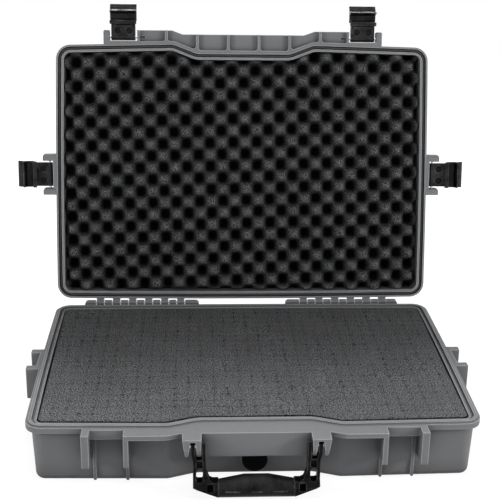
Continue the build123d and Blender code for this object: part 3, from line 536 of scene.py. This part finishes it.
def make_pad():
    """Plain foam sheet on the floor of the base."""
    floor = -RIM_Z + WALL + FOAM_CLEARANCE

    def height(x, y):
        return floor + PAD_TOP + PAD_RIPPLE * ripple(x, y, 3, PAD_RIPPLE_LENGTH)

    xs, ys = (steps(*axis) for axis in PAD_GRID)
    obj = grid_block("base_foam_sheet", xs, ys, height, floor - SPARE)
    outline = rim(PAD_INSET)
    trim(obj, outline, outline, floor, floor + 2 * PAD_THICKNESS)
    finish_foam(obj, "base_foam_pad", "foam", Matrix.Translation((0, 0, RIM_Z * MM)), lambda p: 0.0)


make_lid_foam()
make_base_foam()
make_pad()


# ------------------------------------------------------------------ raised marks on the grip, mm
MARKS = ((-25.0, 7.9), (0.0, 5.8), (25.0, 7.9))      # middle and half length of each
MARK_HALF, MARK_RISE, MARK_DOWN = 1.0, 0.8, 2.0      # half height, relief, below the grip's axis
MARK_END_RAMP, MARK_SIDE_RAMP = 0.6, 0.4             # over which a mark rises from its ends and sides
MARK_EDGE_SUNK, MARK_ROOT = 0.05, 0.4                # below the grip's skin: its edge, its underside
MARK_STEPS_ALONG, MARK_STEPS_UP = 24, 8
MARK_CREASE = radians(40)
IN_FRONT = -300                                      # y of a plane in front of the handle


def make_grip_marks():
    """Three slim raised bars, bare, laid over the front of the grip."""
    grip = frame["nodes"]["handle_grip"]
    corners = [grip.matrix_world @ Vector(c) for c in grip.bound_box]
    axis = (min(c.z for c in corners) + max(c.z for c in corners)) / 2
    surface = BVHTree.FromPolygons([grip.matrix_world @ v.co for v in grip.data.vertices],
                                   [p.vertices for p in grip.data.polygons])
    bm = bmesh.new()
    for middle, half in MARKS:
        sheets = ([], [])
        for u in steps(-half, half, MARK_STEPS_ALONG):
            rows = ([], [])
            for v in steps(-MARK_HALF, MARK_HALF, MARK_STEPS_UP):
                start = Vector((middle + u, IN_FRONT, axis / MM - MARK_DOWN + v)) * MM
                point, normal = surface.ray_cast(start, Vector((0, 1, 0)))[:2]
                ramp = min(1, (half - abs(u)) / MARK_END_RAMP, (MARK_HALF - abs(v)) / MARK_SIDE_RAMP)
                for row, lift in zip(rows, (MARK_RISE * ramp - MARK_EDGE_SUNK, -MARK_ROOT)):
                    row.append(bm.verts.new(point + normal * lift * MM))
            for sheet, row in zip(sheets, rows):
                sheet.append(row)
        for sheet in sheets:
            add_sheet(bm, sheet)
        add_band(bm, *map(border, sheets))
    bmesh.ops.recalc_face_normals(bm, faces=bm.faces)
    obj = mesh_object("grip_marks", bm)
    obj.data.shade_smooth()
    obj.data.set_sharp_from_angle(angle=MARK_CREASE)
    obj.data.materials.append(MATERIALS["grip_rubber"])
    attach(obj, grip["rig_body"])


make_grip_marks()


# ------------------------------------------------------------------ camera
CAMERA_PLACE = Vector((-63.6, -1157.2, 615.5)) * MM
CAMERA_YAW, CAMERA_PITCH, CAMERA_ROLL = 0.0548, 0.3381, 0.0164
CAMERA_LENS, CAMERA_SENSOR = 75.67, 36


def add_camera():
    """Camera in front of the case and above it, turned and rolled a little."""
    level = cos(CAMERA_PITCH)
    forward = Vector((sin(CAMERA_YAW) * level, cos(CAMERA_YAW) * level, -sin(CAMERA_PITCH)))
    right = Vector((cos(CAMERA_YAW), -sin(CAMERA_YAW), 0))
    up = right.cross(forward)
    rolled_right = right * cos(CAMERA_ROLL) + up * sin(CAMERA_ROLL)
    rolled_up = up * cos(CAMERA_ROLL) - right * sin(CAMERA_ROLL)
    data = bpy.data.cameras.new("camera")
    data.lens, data.sensor_width = CAMERA_LENS, CAMERA_SENSOR
    camera = add_object("camera", data)
    turn = Matrix((rolled_right, rolled_up, -forward)).transposed().to_4x4()
    camera.matrix_world = Matrix.Translation(CAMERA_PLACE) @ turn
    bpy.context.scene.camera = camera


# ------------------------------------------------------------------ light and floor
WORLD_LEVEL = 0.02
LAMPS = {                        # place and target in m, diameter in m, power in W
    "key": ((0.05, -0.62, 1.0), (0, -0.15, 0.05), 0.6, 2.8),
    "over": ((0, 1.4, 1.5), (0, -0.15, 0.1), 1.1, 50),
    "left": ((-1.7, -0.9, 0.8), (0, 0, 0.2), 0.5, 14),
    "right": ((1.7, -0.9, 0.8), (0, 0, 0.2), 0.5, 19),
    "low": ((0, -2.2, 0.35), (0, 0, 0.2), 0.8, 2.8),
}
FLOOR_RADIUS, FLOOR_DROP = 4.0, 0.0005       # the drop keeps it clear of the underside, m
FLOOR_PALE = 0.8                 # the floor's tone where light is gathered
FLOOR_GLOW = 0.9                 # what a view of the floor near the object shows in full shadow
FLOOR_SHADOW = 0.2               # and the share that the object's shadow takes away
FLOOR_FADE = (0.45, 0.95)        # the floor turns plain white over these distances, m


def add_lamp(name, place, target, size, power):
    """Round lamp that faces its target."""
    data = bpy.data.lights.new(name, "AREA")
    data.shape, data.size, data.energy = "DISK", size, power
    lamp = add_object(name, data)
    lamp.location = place
    lamp.rotation_euler = (Vector(target) - Vector(place)).to_track_quat("-Z", "Y").to_euler()


def add_world():
    """Even grey light; white where the camera or a reflection sees it."""
    world = bpy.data.worlds.new("studio")
    nodes = Nodes(world, "ShaderNodeOutputWorld")
    background = nodes.add("ShaderNodeBackground", Color=(1, 1, 1, 1))
    nodes.link(nodes.spread(nodes.plain_view(), WORLD_LEVEL, 1.0, 0, 1), background.inputs["Strength"])
    nodes.show(background)
    bpy.context.scene.world = world


def add_floor():
    """Pale floor, plain white to the camera apart from the object's shadow."""
    bm = bmesh.new()
    bmesh.ops.create_circle(bm, cap_ends=True, segments=96, radius=FLOOR_RADIUS)
    floor = mesh_object("floor", bm)
    floor.location.z = -FLOOR_DROP
    material = bpy.data.materials.new("floor")
    nodes = Nodes(material, "ShaderNodeOutputMaterial")
    pale, seen = (nodes.add("ShaderNodeBsdfDiffuse", Color=(*shade(tone, NEUTRAL), 1))
                  for tone in (FLOOR_PALE, FLOOR_SHADOW))
    distance = nodes.add("ShaderNodeVectorMath", operation="LENGTH")
    nodes.link(nodes.add("ShaderNodeTexCoord").outputs["Object"], distance.inputs[0])
    glow, both = nodes.add("ShaderNodeEmission"), nodes.add("ShaderNodeAddShader")
    nodes.link(nodes.spread(distance.outputs["Value"], FLOOR_GLOW, 1.0, *FLOOR_FADE), glow.inputs["Strength"])
    nodes.link(glow.outputs[0], both.inputs[0])
    nodes.link(seen.outputs[0], both.inputs[1])
    mix = nodes.add("ShaderNodeMixShader")
    for source, target in zip((nodes.plain_view(), pale.outputs[0], both.outputs[0]), mix.inputs):
        nodes.link(source, target)
    nodes.show(mix)
    floor.data.materials.append(material)


add_camera()
add_world()
for lamp_name, lamp_values in LAMPS.items():
    add_lamp(lamp_name, *lamp_values)
add_floor()
bpy.context.scene.view_settings.view_transform = "Standard"
